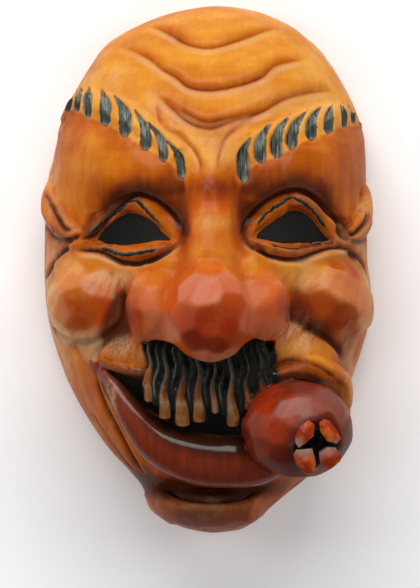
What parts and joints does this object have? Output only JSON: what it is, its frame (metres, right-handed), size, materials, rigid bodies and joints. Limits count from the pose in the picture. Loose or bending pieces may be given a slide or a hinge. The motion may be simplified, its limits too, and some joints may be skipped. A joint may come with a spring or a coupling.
{
  "type": "carved carnival mask",
  "caption": "Hollow carved wooden face mask with a bald wrinkled forehead, bulbous nose, hanging moustache and a round fruit held in the corner of its open mouth.",
  "frame": {"origin": "middle of the bounding box, on the plane of the rim that the mask lies on", "axes": "+X to the right as the face is looked at, +Y from the chin to the crown, +Z out of the face"},
  "size_m": [0.1914, 0.306, 0.1415],
  "materials": {
    "painted_wood": "glazed and lacquered, orange ochre with red-brown and blackish accents"
  },
  "bodies": {
    "root": {"mask": "painted_wood"}
  },
  "joints": []
}
